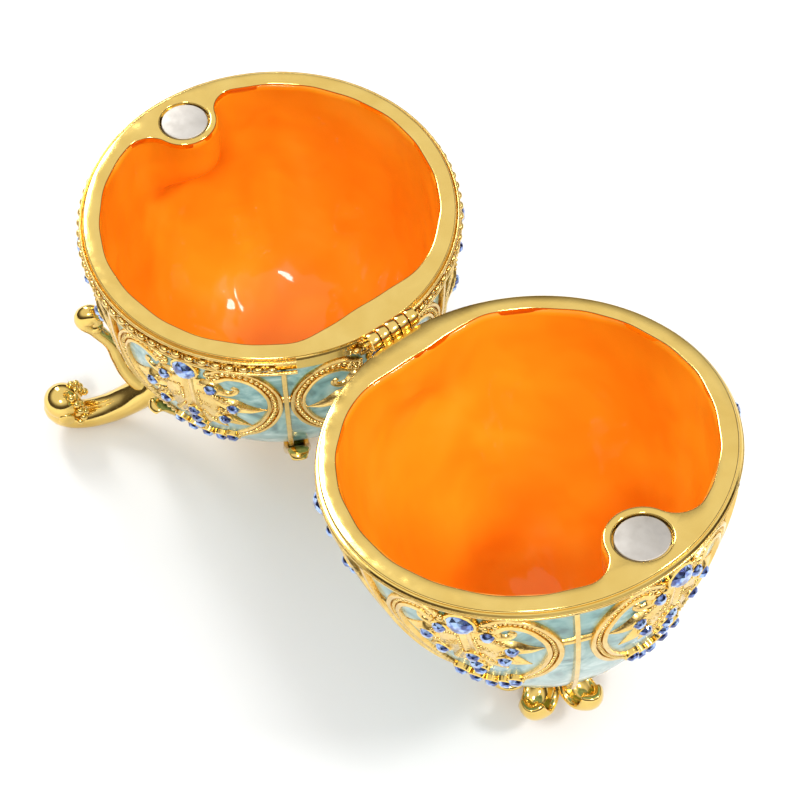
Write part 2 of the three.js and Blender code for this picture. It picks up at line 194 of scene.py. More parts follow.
def join(pieces, name):
    pick(pieces[0])
    for piece in pieces[1:]:
        piece.select_set(True)
    if len(pieces) > 1:
        bpy.ops.object.join()
    whole = bpy.context.object
    whole.name = name
    whole.data.name = name
    return whole


def modify(piece, kind, **settings):
    """Adds a modifier and applies it."""
    pick(piece)
    modifier = piece.modifiers.new(kind.lower(), kind)
    for key, value in settings.items():
        setattr(modifier, key, value)
    bpy.ops.object.modifier_apply(modifier=modifier.name)


def tidy_mesh(piece, gap=0.004 * MM):
    """Merges doubled points and turns every face outwards."""
    edit(piece)
    bpy.ops.mesh.remove_doubles(threshold=gap)
    bpy.ops.mesh.normals_make_consistent(inside=False)
    bpy.ops.object.mode_set(mode="OBJECT")


def smooth(piece, degrees=35):
    pick(piece)
    bpy.ops.object.shade_smooth_by_angle(angle=math.radians(degrees))


def set_down(piece, half_name, material):
    """Puts a piece made dome up in its half's place, with its finish, riding on that half."""
    piece.data.materials.clear()
    piece.data.materials.append(material)
    piece.matrix_world = HALVES[half_name]["place"] @ piece.matrix_world
    pick(piece)
    bpy.ops.object.transform_apply(location=True, rotation=True, scale=True)
    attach(piece, half_name)


def new_finish(name, **values):
    """A principled finish with plain values, and its nodes and links to build a pattern on."""
    finish = bpy.data.materials.new(name)
    finish.use_nodes = True
    shader = finish.node_tree.nodes["Principled BSDF"]
    for socket, value in values.items():
        shader.inputs[socket.replace("_", " ")].default_value = value
    return finish, finish.node_tree.nodes, finish.node_tree.links, shader


def noise(nodes, links, scale, detail=2.0, distortion=0.0, squeeze=(1, 1, 1)):
    place = nodes.new("ShaderNodeTexCoord")
    mapping = nodes.new("ShaderNodeMapping")
    mapping.inputs["Scale"].default_value = squeeze
    texture = nodes.new("ShaderNodeTexNoise")
    texture.inputs["Scale"].default_value = scale
    texture.inputs["Detail"].default_value = detail
    texture.inputs["Distortion"].default_value = distortion
    links.new(place.outputs["Object"], mapping.inputs[0])
    links.new(mapping.outputs[0], texture.inputs["Vector"])
    return texture.outputs["Fac"]


def ramp(nodes, links, value, stops):
    node = nodes.new("ShaderNodeValToRGB")
    elements = node.color_ramp.elements
    while len(elements) < len(stops):
        elements.new(0.5)
    for element, (position, colour) in zip(elements, stops):
        element.position = position
        element.color = (*colour, 1) if len(colour) == 3 else colour
    links.new(value, node.inputs[0])
    return node.outputs[0]


def bump(nodes, links, shader, value, strength, distance, below=None):
    node = nodes.new("ShaderNodeBump")
    node.inputs["Strength"].default_value = strength
    node.inputs["Distance"].default_value = distance
    links.new(value, node.inputs["Height"])
    if below is not None:
        links.new(below, node.inputs["Normal"])
    links.new(node.outputs[0], shader.inputs["Normal"])
    return node.outputs[0]


def grey(low, high):
    return [(0.3, (low,) * 3), (0.7, (high,) * 3)]


def polished_gold():
    finish, nodes, links, shader = new_finish("polished gold", Metallic=1.0)
    tint = noise(nodes, links, 260, 3, 0.4)
    links.new(ramp(nodes, links, tint, [(0.3, (0.85, 0.58, 0.155)), (0.7, (0.92, 0.66, 0.20))]),
              shader.inputs["Base Color"])
    links.new(ramp(nodes, links, noise(nodes, links, 900, 3), grey(0.07, 0.17)), shader.inputs["Roughness"])
    wave = bump(nodes, links, shader, noise(nodes, links, 190, 1), 0.10, 1.2 * MM)
    bump(nodes, links, shader, noise(nodes, links, 3000, 2), 0.04, 0.08 * MM, wave)
    return finish


GOLD_POLISHED = polished_gold()


def lip_outline(count=150, bend=10, round_count=26):
    """Points round the inner lip, each with the azimuth that it runs down to and how deep it holds.

    The lip is the bowl's circle, flattened at the hinge pad and turned in round the magnet lug.
    """
    inner = RIM - WALL
    fillet_out = inner - LUG_FILLET
    reach = LUG_RADIUS + LUG_FILLET
    swing = math.acos((fillet_out**2 + MAGNET_CENTRE**2 - reach**2) / (2 * fillet_out * MAGNET_CENTRE))
    fillet = Vector((fillet_out * math.cos(swing), fillet_out * math.sin(swing)))
    from_lug = math.atan2(fillet.y, fillet.x - MAGNET_CENTRE)
    points = []
    for i in range(count):
        angle = swing + (2 * math.pi - 2 * swing) * i / count
        wave = 0.05 * MM * math.sin(9 * angle + 1) + 0.04 * MM * math.sin(23 * angle)
        chord = PAD_CHORD / max(0.2, -math.cos(angle))
        soft = 0.022 * RIM
        radius = -soft * math.log(math.exp(-inner / soft) + math.exp(-chord / soft)) + wave
        on_pad = abs(angle - math.pi) < math.radians(32)
        points.append((radius * math.cos(angle), radius * math.sin(angle), angle, 0.13 if on_pad else 0))
    arcs = [
        (fillet.x, -fillet.y, LUG_FILLET, -swing, math.pi - from_lug, bend),
        (MAGNET_CENTRE, 0, LUG_RADIUS, 2 * math.pi - from_lug, from_lug, round_count),
        (fillet.x, fillet.y, LUG_FILLET, from_lug - math.pi, swing, bend),
    ]
    total = 2 * bend + round_count
    done = 0
    for x, y, radius, first, last, steps in arcs:
        for i in range(steps):
            turn = first + (last - first) * i / steps
            runs_to = -swing + 2 * swing * done / total
            points.append((x + radius * math.cos(turn), y + radius * math.sin(turn), runs_to, 0.27))
            done += 1
    return [(-x, -y, angle + math.pi, hold) for x, y, angle, hold in points]


LIP = lip_outline()


def ring_of_points(points, name):
    bpy.ops.mesh.primitive_circle_add(vertices=len(points), radius=RIM)
    ring = bpy.context.object
    ring.name = name
    for vertex, place in zip(ring.data.vertices, points):
        vertex.co = place
    return ring


def flat_rim(name):
    bpy.ops.mesh.primitive_circle_add(vertices=180, radius=RIM)
    outer = bpy.context.object
    inner = ring_of_points([(x, y, 0) for x, y, _, _ in LIP], "lip")
    bpy.ops.mesh.primitive_circle_add(
        vertices=56, radius=MAGNET_RADIUS + 0.2 * MM, location=(-MAGNET_CENTRE, 0, 0))
    rim = join([outer, inner, bpy.context.object], f"{name}_rim")
    edit(rim)
    bpy.ops.mesh.fill(use_beauty=True)
    bpy.ops.object.mode_set(mode="OBJECT")
    modify(rim, "SOLIDIFY", thickness=RIM_THICK, offset=0)
    tidy_mesh(rim)
    modify(rim, "BEVEL", width=EDGE_ROUND, segments=3, limit_method="ANGLE", angle_limit=math.radians(50))
    edit(rim)
    bpy.ops.transform.translate(value=(0, 0, RIM_GAP + RIM_THICK / 2))
    bpy.ops.object.mode_set(mode="OBJECT")
    smooth(rim, 40)
    return rim


for name in HALVES:
    rim = flat_rim(name)
    set_down(rim, name, GOLD_POLISHED)
    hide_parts(f"{name}_shell")

# ---- orange linings ---------------------------------------------------------------------------
# Opaque enamel flooded over the inside of each half and fired glossy. It starts just under the
# rounded lip, runs down the magnet lug and the hinge pad, and lies in slow uneven waves.
LINING_TOP = 0.42 * MM
LINING_THICK = 0.35 * MM
LINING_RINGS = 40


def orange_enamel():
    finish, nodes, links, shader = new_finish(
        "orange enamel", Coat_Weight=0.8, Coat_Roughness=0.02, Coat_IOR=1.36, Roughness=0.3,
        Specular_IOR_Level=0.1)
    tint = noise(nodes, links, 75, 2, 0.6)
    links.new(ramp(nodes, links, tint, [
        (0.30, (0.90, 0.26, 0.006)), (0.52, (0.95, 0.33, 0.010)), (0.75, (0.97, 0.40, 0.022))]),
        shader.inputs["Base Color"])
    wave = bump(nodes, links, shader, noise(nodes, links, 160, 1, 0.8), 0.30, 0.9 * MM)
    links.new(wave, shader.inputs["Coat Normal"])
    return finish


ORANGE = orange_enamel()


def eased(share):
    share = min(1.0, max(0.0, share))
    return share * share * (3 - 2 * share)


def lining_ring(half, depth):
    """The lip's outline at a depth: lug and pad go straight down as far as they hold, then die away."""
    inner = RIM - WALL
    shrink = radius_at(half, depth, WALL) / inner
    points = []
    for x, y, angle, hold in LIP:
        fade = eased((depth / RIM - hold) / 0.3) if hold else 1.0
        shell_x, shell_y = inner * math.cos(angle), inner * math.sin(angle)
        points.append(((x + (shell_x - x) * fade) * shrink, (y + (shell_y - y) * fade) * shrink, depth))
    return points


def bent_sheet(name, columns, rows, place_of):
    """A grid laid over a surface: place_of takes the shares along it and across it, 0 to 1."""
    bpy.ops.mesh.primitive_grid_add(x_subdivisions=columns, y_subdivisions=rows, size=1)
    sheet = bpy.context.object
    sheet.name = name
    for vertex in sheet.data.vertices:
        vertex.co = place_of(vertex.co.x + 0.5, vertex.co.y + 0.5)
    return sheet


def lining(name, half):
    bottom = half["depth"] - WALL
    rings = []
    for row in range(LINING_RINGS + 1):
        share = math.sin(math.pi / 2 * (row / LINING_RINGS) ** 0.9)
        rings.append(lining_ring(half, LINING_TOP + (bottom - LINING_TOP) * share))

    def place_of(along, across):
        return rings[round(across * LINING_RINGS)][round(along * len(LIP)) % len(LIP)]

    piece = bent_sheet(f"{name}_lining", len(LIP), LINING_RINGS, place_of)
    tidy_mesh(piece)
    modify(piece, "SUBSURF", levels=1, render_levels=1)
    ripple = bpy.data.textures.new(f"{name} ripple", "CLOUDS")
    ripple.noise_scale = 6.5 * MM
    modify(piece, "DISPLACE", texture=ripple, texture_coords="GLOBAL", strength=0.5 * MM, mid_level=0.5)
    edit(piece)
    bpy.ops.mesh.normals_make_consistent(inside=True)
    bpy.ops.object.mode_set(mode="OBJECT")
    modify(piece, "SOLIDIFY", thickness=LINING_THICK, offset=-1)
    pick(piece)
    bpy.ops.object.shade_smooth()
    return piece


for name, half in HALVES.items():
    set_down(lining(name, half), name, ORANGE)

# ---- cast walls -------------------------------------------------------------------------------
# The gilt casting under the enamel: it shows only as the band below each rim, plain on the lid and
# the floor of the row of beads on the base, stepped out a little from the rim's edge.
WALL_BAND = {"base": 0.18 * MM, "lid": 0.35 * MM}


def stroke(points, radii=None, closed=False, sharp=False, flat=False):
    """A curve drawn through a few points, rounded unless it is sharp."""
    bpy.ops.curve.primitive_bezier_curve_add()
    path = bpy.context.object
    knots = path.data.splines[0].bezier_points
    knots.add(len(points) - 2)
    for i, (knot, place) in enumerate(zip(knots, points)):
        knot.handle_left_type = knot.handle_right_type = "VECTOR" if sharp else "AUTO"
        knot.co = place
        knot.radius = radii[i] if radii else 1.0
    path.data.splines[0].use_cyclic_u = closed
    path.data.dimensions = "2D" if flat else "3D"
    path.data.resolution_u = 1 if sharp else 6
    return path


def to_mesh(piece, name):
    pick(piece)
    bpy.ops.object.convert(target="MESH")
    piece = bpy.context.object
    piece.name = name
    return piece


def spun(name, outline, steps=160, closed=True, sweep=2 * math.pi, start=0.0, sharp=True):
    """An outline of (radius, height) pairs, turned round the half's axis."""
    places = [(radius * math.cos(start), radius * math.sin(start), height) for radius, height in outline]
    piece = to_mesh(stroke(places, closed=closed, sharp=sharp), name)
    edit(piece)
    bpy.ops.mesh.spin(steps=steps, angle=sweep, center=(0, 0, 0), axis=(0, 0, 1))
    bpy.ops.object.mode_set(mode="OBJECT")
    tidy_mesh(piece, 0.002 * MM)
    return piece


def cast_wall(name, half):
    band = WALL_BAND[name]
    foot = half["band_foot"]
    outline = [(RIM - 0.1 * MM, 0.5 * MM), (RIM + band - 0.15 * MM, 0.55 * MM), (RIM + band, 0.75 * MM),
               (RIM + band, foot - 0.25 * MM), (RIM + band - 0.2 * MM, foot), (RIM - 0.4 * MM, foot)]
    bottom = half["depth"] - 0.5 * MM
    for i in range(1, 13):
        depth = foot + (bottom - foot) * math.sin(math.pi / 2 * i / 12)
        outline.append((max(0.0, radius_at(half, depth, 0.5 * MM)) if i < 12 else 0.0, depth))
    inner = WALL - 0.3 * MM
    bottom = half["depth"] - inner
    outline += [(radius_at(half, bottom * math.cos(math.pi / 2 * i / 12), inner) if i else 0.0,
                 bottom * math.cos(math.pi / 2 * i / 12)) for i in range(12)]
    outline.append((RIM - inner, 0.5 * MM))
    piece = spun(f"{name}_wall", outline)
    smooth(piece, 30)
    return piece


for name, half in HALVES.items():
    set_down(cast_wall(name, half), name, GOLD_POLISHED)

# ---- teal enamel ------------------------------------------------------------------------------
# Marbled enamel laid in the cells between the cast ornament. It is one coat over the outside of
# each half, level with the skin, and the ornament stands proud of it.


def teal_enamel():
    finish, nodes, links, shader = new_finish(
        "teal enamel", Coat_Weight=0.7, Coat_Roughness=0.05, Roughness=0.30)
    swirl = noise(nodes, links, 150, 4, 2.6)
    links.new(ramp(nodes, links, swirl, [
        (0.30, (0.05, 0.17, 0.16)), (0.43, (0.15, 0.36, 0.34)), (0.55, (0.27, 0.49, 0.46)),
        (0.70, (0.50, 0.70, 0.66))]), shader.inputs["Base Color"])
    bump(nodes, links, shader, noise(nodes, links, 420, 2), 0.15, 0.25 * MM)
    return finish


TEAL = teal_enamel()


def enamel_coat(name, half):
    foot = half["band_foot"] - 0.1 * MM
    bottom = half["depth"]
    rows = 26
    outline = []
    for i in range(rows + 1):
        depth = foot + (bottom - foot) * math.sin(math.pi / 2 * i / rows)
        outline.append((radius_at(half, depth) if i < rows else 0.0, depth))
    inset = 0.45 * MM
    bottom -= inset
    for i in range(rows, -1, -1):
        depth = foot + (bottom - foot) * math.sin(math.pi / 2 * i / rows)
        outline.append((radius_at(half, depth, inset) if i < rows else 0.0, depth))
    piece = spun(f"{name}_enamel", outline, 144)
    smooth(piece, 40)
    return piece


for name, half in HALVES.items():
    set_down(enamel_coat(name, half), name, TEAL)

# ---- bands under the rims ---------------------------------------------------------------------
# The base has a row of oblong beads between two fine ridges; the lid has one plain fine ridge.
# Both stop at the hinge barrel.
BAND_BEADS = 83
BEAD_STRETCH = (0.95, 1.4, 1.0)
HINGE_SWING = math.radians(9.5)      # half the arc that the barrel takes up


def cast_gold():
    finish, nodes, links, shader = new_finish("cast gold", Metallic=1.0)
    tint = noise(nodes, links, 500, 3, 0.3)
    links.new(ramp(nodes, links, tint, [(0.3, (0.78, 0.51, 0.14)), (0.7, (0.92, 0.67, 0.25))]),
              shader.inputs["Base Color"])
    links.new(ramp(nodes, links, noise(nodes, links, 1500, 3), grey(0.16, 0.30)), shader.inputs["Roughness"])
    bump(nodes, links, shader, noise(nodes, links, 3600, 2), 0.45, 0.07 * MM)
    return finish


GOLD_CAST = cast_gold()


def ridge(name, radius, height, thick):
    section = [(radius + thick * math.cos(turn), height + thick * math.sin(turn))
               for turn in (math.pi * k / 4 for k in range(8))]
    sweep = 2 * math.pi - 2 * HINGE_SWING
    piece = spun(name, section, 150, sweep=sweep, start=HINGE_SWING)
    return piece


def bead(radius, place=(0, 0, 0), stretch=(1, 1, 1)):
    bpy.ops.mesh.primitive_ico_sphere_add(subdivisions=2, radius=radius, location=place, scale=stretch)
    return bpy.context.object


def turned_copies(piece, count, sweep):
    """Repeats a piece round the axis: count copies in all, over the sweep."""
    pick(piece)
    bpy.ops.object.transform_apply(location=True, rotation=True, scale=True)
    edit(piece)
    bpy.ops.mesh.spin(steps=count - 1, angle=sweep * (count - 1) / count, dupli=True,
                      center=(0, 0, 0), axis=(0, 0, 1))
    bpy.ops.object.mode_set(mode="OBJECT")
    return piece


def beaded_band():
    middle = RIM + 0.58 * MM
    height = 0.069 * RIM
    first = HINGE_SWING + math.radians(1)
    sweep = 2 * math.pi - 2 * first
    oblong = bead(0.42 * MM)
    oblong.matrix_world = Matrix.Rotation(first, 4, "Z") @ Matrix.Translation((middle, 0, height)) \
        @ Matrix.Diagonal((*BEAD_STRETCH, 1))
    rows = [turned_copies(oblong, BAND_BEADS, sweep)]
    for side in (-1, 1):
        bpy.ops.mesh.primitive_ico_sphere_add(subdivisions=1, radius=0.15 * MM)
        dot = bpy.context.object
        dot.matrix_world = Matrix.Rotation(first + sweep / BAND_BEADS / 2, 4, "Z") \
            @ Matrix.Translation((middle - 0.05 * MM, 0, height + side * 0.2 * MM))
        rows.append(turned_copies(dot, BAND_BEADS, sweep))
    rings = [ridge("upper", RIM + 0.36 * MM, 0.031 * RIM, 0.18 * MM),
             ridge("lower", RIM + 0.55 * MM, 0.108 * RIM, 0.24 * MM)]
    band = join(rows + rings, "base_band")
    smooth(band, 50)
    return band


set_down(beaded_band(), "base", GOLD_CAST)
lid_ridge = ridge("lid_band", RIM + 0.32 * MM, 0.047 * RIM, 0.16 * MM)
smooth(lid_ridge, 50)
set_down(lid_ridge, "lid", GOLD_CAST)

# ---- panel ornament ---------------------------------------------------------------------------
# Six panels round each half, cast with it: upright ribs between them, and in each a pair of
# beaded C-scrolls round a palmette of pointed leaves. One panel is modelled flat, across and
# down from the middle of its rim edge in rim radii, laid on the skin, and repeated round the half.
SCROLL = [(0.128, 0.135), (0.195, 0.095), (0.29, 0.115), (0.365, 0.215), (0.392, 0.36), (0.355, 0.52),
          (0.275, 0.67), (0.175, 0.79)]
SCROLL_BEAD = {"base": 0.0165, "lid": 0.0115}


def section(points, name):
    """A moulding's section, drawn once, across and proud."""
    profile = stroke([(x, y, 0) for x, y in points], closed=False, sharp=True, flat=True)
    profile.name = name
    return profile


def swept(points, radii, profile, name="strip"):
    path = stroke([(x, y, 0) for x, y in points], radii, flat=True)
    path.data.bevel_mode = "OBJECT"
    path.data.bevel_object = profile
    path.data.use_fill_caps = True
    return to_mesh(path, name)


def beads_along(points, radius, spacing, proud=0.0):
    """Round beads on a flat line: an array of one bead, bent along the line."""
    path = stroke([(x, y, 0) for x, y in points], flat=True)
    path.data.resolution_u = 12
    bpy.ops.mesh.primitive_ico_sphere_add(subdivisions=1, radius=radius)
    row = bpy.context.object
    modify(row, "ARRAY", fit_type="FIT_CURVE", curve=path, use_relative_offset=False,
           use_constant_offset=True, constant_offset_displace=(spacing, 0, 0))
    modify(row, "CURVE", object=path)
    bpy.data.objects.remove(path)
    edit(row)
    bpy.ops.transform.translate(value=(0, 0, proud))
    bpy.ops.object.mode_set(mode="OBJECT")
    return row


def fan(half_name, down):
    """The palmette is drawn out taller on the deep base."""
    return down if half_name == "lid" else 0.06 + 1.22 * down - 0.3 * down**3


def flat_panel(half_name):
    half = HALVES[half_name]
    floor = 0.44 if half_name == "base" else 0.3
    band = section([(-1, -0.7), (-0.98, 0.4), (-0.88, 0.75), (-0.70, 0.8), (-floor - 0.08, 0.65),
                    (-floor, 0.1), (floor, 0.1), (floor + 0.08, 0.65), (0.70, 0.8), (0.88, 0.75),
                    (0.98, 0.4), (1, -0.7)], "scroll section")
    leaf = section([(-1, -0.6), (-0.95, 0.2), (-0.6, 0.62), (-0.12, 0.5), (0, 0.38), (0.12, 0.5),
                    (0.6, 0.62), (0.95, 0.2), (1, -0.6)], "leaf section")
    plate = section([(-1, -0.4), (-0.95, 0.1), (-0.8, 0.2), (0.8, 0.2), (0.95, 0.1), (1, -0.4)],
                    "plate section")
    for profile, wide in ((band, 0.042), (leaf, 0.036), (plate, 0.036)):
        profile.scale = (wide, 0.028, 1)
        pick(profile)
        bpy.ops.object.transform_apply(location=False, rotation=False, scale=True)

    def drawn(points, side, spread=half["spread"]):
        return [(side * x * spread, fan(half_name, y)) for x, y in points]

    def scrolled(side):
        return [(side * x * half["spread"], y + half["drop"]) for x, y in SCROLL]

    pieces = [swept(drawn([(0, 0.17), (0, 0.26), (0, 0.36), (0, 0.47), (0, 0.58), (0, 0.68)], 1),
                    [2.2, 3.9, 4.6, 3.9, 2.6, 1.2], plate),
              swept(drawn([(0, 0.17), (0, 0.34), (0, 0.52), (0, 0.66), (0, 0.76)], 1),
                    [1.2, 1.3, 1.3, 1.1, 0.1], leaf)]
    crescent = [(-0.2, 0.765), (-0.12, 0.86), (0, 0.925), (0.12, 0.86), (0.2, 0.765)]
    pieces.append(swept(drawn(crescent, 1), [0.5, 1.0, 1.25, 1.0, 0.5], leaf))
    grain = SCROLL_BEAD[half_name]
    for side in (-1, 1):
        pieces.append(swept(scrolled(side), [1.25, 1.1, 1.0, 1.0, 1.0, 1.0, 0.85, 0.6], band))
        pieces.append(beads_along(scrolled(side), grain, 1.95 * grain, 0.009))
        head = Vector(scrolled(side)[0])
        for i in range(7):
            around = 2 * math.pi * i / 7
            at = head + 0.033 * Vector((math.cos(around), math.sin(around)))
            pieces.append(bead(0.0165, (at.x, at.y, 0.01)))
        hook = [(0.05, 0.225), (0.08, 0.205), (0.115, 0.21), (0.165, 0.24), (0.21, 0.235),
                (0.226, 0.205), (0.207, 0.19)]
        pieces.append(swept(drawn(hook, side), [0.8, 1.3, 1.6, 0.8, 0.55, 0.45, 0.35], leaf))
        upper = [(0.06, 0.295), (0.12, 0.315), (0.20, 0.34), (0.275, 0.368), (0.345, 0.375)]
        pieces.append(swept(drawn(upper, side), [0.7, 1.0, 1.7, 0.95, 0.08], leaf))
        lower = [(0.05, 0.39), (0.09, 0.42), (0.148, 0.47), (0.20, 0.525), (0.255, 0.575)]
        pieces.append(swept(drawn(lower, side), [0.7, 1.0, 1.6, 0.95, 0.08], leaf))
        for line in ([(0.05, 0.262), (0.10, 0.268), (0.15, 0.285), (0.19, 0.305)],
                     [(0.06, 0.345), (0.11, 0.366), (0.16, 0.392), (0.205, 0.41)],
                     [(0.07, 0.372), (0.11, 0.395), (0.15, 0.42)],
                     [(0.05, 0.45), (0.075, 0.50), (0.10, 0.555)],
                     [(0.04, 0.29), (0.042, 0.35), (0.045, 0.40)]):
            pieces.append(beads_along(drawn(line, side), 0.0125, 0.0255, 0.016))
        fill = [(0.05, 0.50), (0.08, 0.55), (0.11, 0.60), (0.13, 0.65)]
        pieces.append(swept(drawn(fill, side), [0.9, 1.0, 0.7, 0.1], leaf))
        joint = [(0.42, 0.33 + half["drop"]), (PANEL_ANGLE / 2 / half["spread"] * 0.97, 0.33 + half["drop"])]
        pieces.append(swept([(side * x * half["spread"], y) for x, y in joint], [0.7, 0.7], leaf))
    for profile in (band, leaf, plate):
        bpy.data.objects.remove(profile)
    return join(pieces, f"{half_name}_panel")


def laid_on(piece, half):
    """Wraps a flat piece, across, down and proud in rim radii, round its half's skin."""
    for vertex in piece.data.vertices:
        across, down, proud = vertex.co
        depth = min(down * RIM, half["depth"] * 0.995)
        angle = half["turn"] + across * RIM / radius_at(half, depth)
        vertex.co = on_skin(half, angle, depth, proud * RIM)


def rib_strip(half_name):
    half = HALVES[half_name]
    wide = 0.017
    rows = 34

    def place_of(along, across):
        down = (half["band_foot"] / RIM - 0.01) + (half["rib_end"] - half["band_foot"] / RIM) * along
        edge = (across - 0.5) * 2
        proud = (0.026 if abs(edge) < 0.7 else -0.01) * RIM
        angle = half["turn"] + PANEL_ANGLE / 2 + edge * wide * RIM / radius_at(half, down * RIM)
        return on_skin(half, angle, down * RIM, proud)

    return bent_sheet(f"{half_name}_rib", rows, 6, place_of)


def ornament(half_name):
    half = HALVES[half_name]
    panel = flat_panel(half_name)
    laid_on(panel, half)
    whole = join([panel, rib_strip(half_name)], f"{half_name}_ornament")
    whole = turned_copies(whole, PANELS, 2 * math.pi)
    edit(whole)
    bpy.ops.mesh.normals_make_consistent(inside=False)
    bpy.ops.object.mode_set(mode="OBJECT")
    smooth(whole, 45)
    return whole


for name in HALVES:
    set_down(ornament(name), name, GOLD_CAST)

# ---- crystals ---------------------------------------------------------------------------------
# Foil-backed blue rhinestones: a large one at the head of each panel and small ones on the
# leaves, down the stem and in the row at the foot. Each is glued into a small gilt cup.
LARGE_CRYSTAL = 0.066 * RIM
SMALL_CRYSTAL = 0.036 * RIM
STONES = [(0.113, 0.208), (0.202, 0.342), (0.149, 0.468), (0.135, 0.80), (0.072, 0.862)]
STEM_STONES = [0.47, 0.56, 0.65, 0.89]


def blue_crystal():
    finish, nodes, links, shader = new_finish(
        "blue crystal", Transmission_Weight=0.4, IOR=1.55, Roughness=0.03, Metallic=0.8,
        Coat_Weight=1.0, Coat_Roughness=0.01, Coat_IOR=1.6)
    tint = noise(nodes, links, 1300, 1)
    links.new(ramp(nodes, links, tint, [
        (0.40, (0.025, 0.05, 0.24)), (0.5, (0.11, 0.22, 0.66)), (0.6, (0.36, 0.58, 1.0))]),
        shader.inputs["Base Color"])
    return finish


BLUE = blue_crystal()


def ring_of(count, radius, height, twist=0.0):
    bpy.ops.mesh.primitive_circle_add(
        vertices=count, radius=radius, location=(0, 0, height), rotation=(0, 0, twist))
    return bpy.context.object


def cut_stone(radius, proud, name):
    """A round brilliant: girdle, star facets and table, hulled over rings of points."""
    turn = math.pi / 8
    levels = [ring_of(8, radius * 0.3, -proud * 0.1), ring_of(8, radius, proud * 0.3),
              ring_of(8, radius, proud * 0.42, turn), ring_of(8, radius * 0.8, proud * 0.78),
              ring_of(8, radius * 0.5, proud, turn)]
    stone = join(levels, name)
    pick(stone)
    bpy.ops.object.transform_apply(location=True, rotation=True, scale=True)
    edit(stone)
    bpy.ops.mesh.convex_hull()
    bpy.ops.object.mode_set(mode="OBJECT")
    return stone


def cup(radius, name):
    """The gilt cup round a stone, its lip just over the girdle."""
    outline = [(radius * 0.5, -0.25 * MM), (radius * 1.28, -0.2 * MM), (radius * 1.2, 0.32 * MM),
               (radius * 1.05, 0.42 * MM), (radius * 0.95, 0.3 * MM), (radius * 0.5, 0.1 * MM)]
    return spun(name, outline, 14)


def seated(piece, half, across, down):
    """A copy of an upright piece, standing on the skin at a place in the first panel."""
    pick(piece)
    bpy.ops.object.duplicate()
    copy = bpy.context.object
    depth = down * RIM
    angle = half["turn"] + across * RIM / radius_at(half, depth)
    place = on_skin(half, angle, depth, 0.2 * MM)
    out = (on_skin(half, angle, depth, 1.2 * MM) - place).normalized()
    copy.matrix_world = Matrix.Translation(place) @ out.to_track_quat("Z", "Y").to_matrix().to_4x4()
    return copy


def stone_places(half_name):
    half = HALVES[half_name]
    places = [(0, fan(half_name, down)) for down in STEM_STONES]
    for side in (-1, 1):
        places += [(side * x * half["spread"], fan(half_name, y)) for x, y in STONES]
    return places


def set_stones(half_name, model, places, name):
    half = HALVES[half_name]
    copies = [seated(model, half, across, down) for across, down in places]
    for copy in copies:
        pick(copy)
        bpy.ops.object.transform_apply(location=True, rotation=True, scale=True)
    return turned_copies(join(copies, name), PANELS, 2 * math.pi)


large_stone = cut_stone(LARGE_CRYSTAL, 1.05 * MM, "large stone")
small_stone = cut_stone(SMALL_CRYSTAL, 0.85 * MM, "small stone")
large_cup = cup(LARGE_CRYSTAL, "large cup")
small_cup = cup(SMALL_CRYSTAL, "small cup")
for name, half in HALVES.items():
    head = [(0, half["gem_down"])]
    large = set_stones(name, large_stone, head, f"{name}_large_crystals")
    set_down(large, name, BLUE)
    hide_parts(*[f"{name}_gem_{i}" for i in range(1, PANELS + 1)])
    small = set_stones(name, small_stone, stone_places(name), f"{name}_small_crystals")
    set_down(small, name, BLUE)
    cups = join([set_stones(name, large_cup, head, "head cups"),
                 set_stones(name, small_cup, stone_places(name), "cups")], f"{name}_cups")
    smooth(cups, 40)
    set_down(cups, name, GOLD_POLISHED)
for model in (large_stone, small_stone, large_cup, small_cup):
    bpy.data.objects.remove(model)

# ---- magnets ----------------------------------------------------------------------------------
# A nickel-plated disc glued into a gilt pocket in each lug, a hair below the ground rim.
MAGNET_HEIGHT = 2 * MM


def nickel():
    finish, nodes, links, shader = new_finish("dull nickel", Metallic=1.0)
    tint = noise(nodes, links, 240, 4, 0.6)
    links.new(ramp(nodes, links, tint, [(0.3, (0.47, 0.44, 0.40)), (0.7, (0.58, 0.55, 0.51))]),
              shader.inputs["Base Color"])
    links.new(ramp(nodes, links, noise(nodes, links, 800, 4), grey(0.48, 0.66)), shader.inputs["Roughness"])
    bump(nodes, links, shader, noise(nodes, links, 1200, 3), 0.2, 0.05 * MM)
    return finish


NICKEL = nickel()


def magnet_disc(name):
    top = RIM_GAP + 0.12 * MM
    bpy.ops.mesh.primitive_cylinder_add(
        vertices=64, radius=MAGNET_RADIUS, depth=MAGNET_HEIGHT - 0.15 * MM,
        location=(-MAGNET_CENTRE, 0, top + MAGNET_HEIGHT / 2))
    disc = bpy.context.object
    disc.name = f"{name}_magnet_disc"
    modify(disc, "BEVEL", width=0.16 * MM, segments=3, limit_method="ANGLE")
    smooth(disc, 40)
    return disc


def pocket(name):
    radius = MAGNET_RADIUS + 0.2 * MM
    piece = spun(f"{name}_pocket", [
        (0, 2.4 * MM), (radius, 2.4 * MM), (radius, 0.9 * MM), (radius + 0.25 * MM, 0.9 * MM),
        (radius + 0.25 * MM, 2.7 * MM), (0, 2.7 * MM)], 48)
    edit(piece)
    bpy.ops.transform.translate(value=(-MAGNET_CENTRE, 0, 0))
    bpy.ops.object.mode_set(mode="OBJECT")
    smooth(piece, 40)
    return piece


for name in HALVES:
    disc = magnet_disc(name)
    set_down(disc, name, NICKEL)
    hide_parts(f"{name}_magnet")
    set_down(pocket(name), name, GOLD_POLISHED)

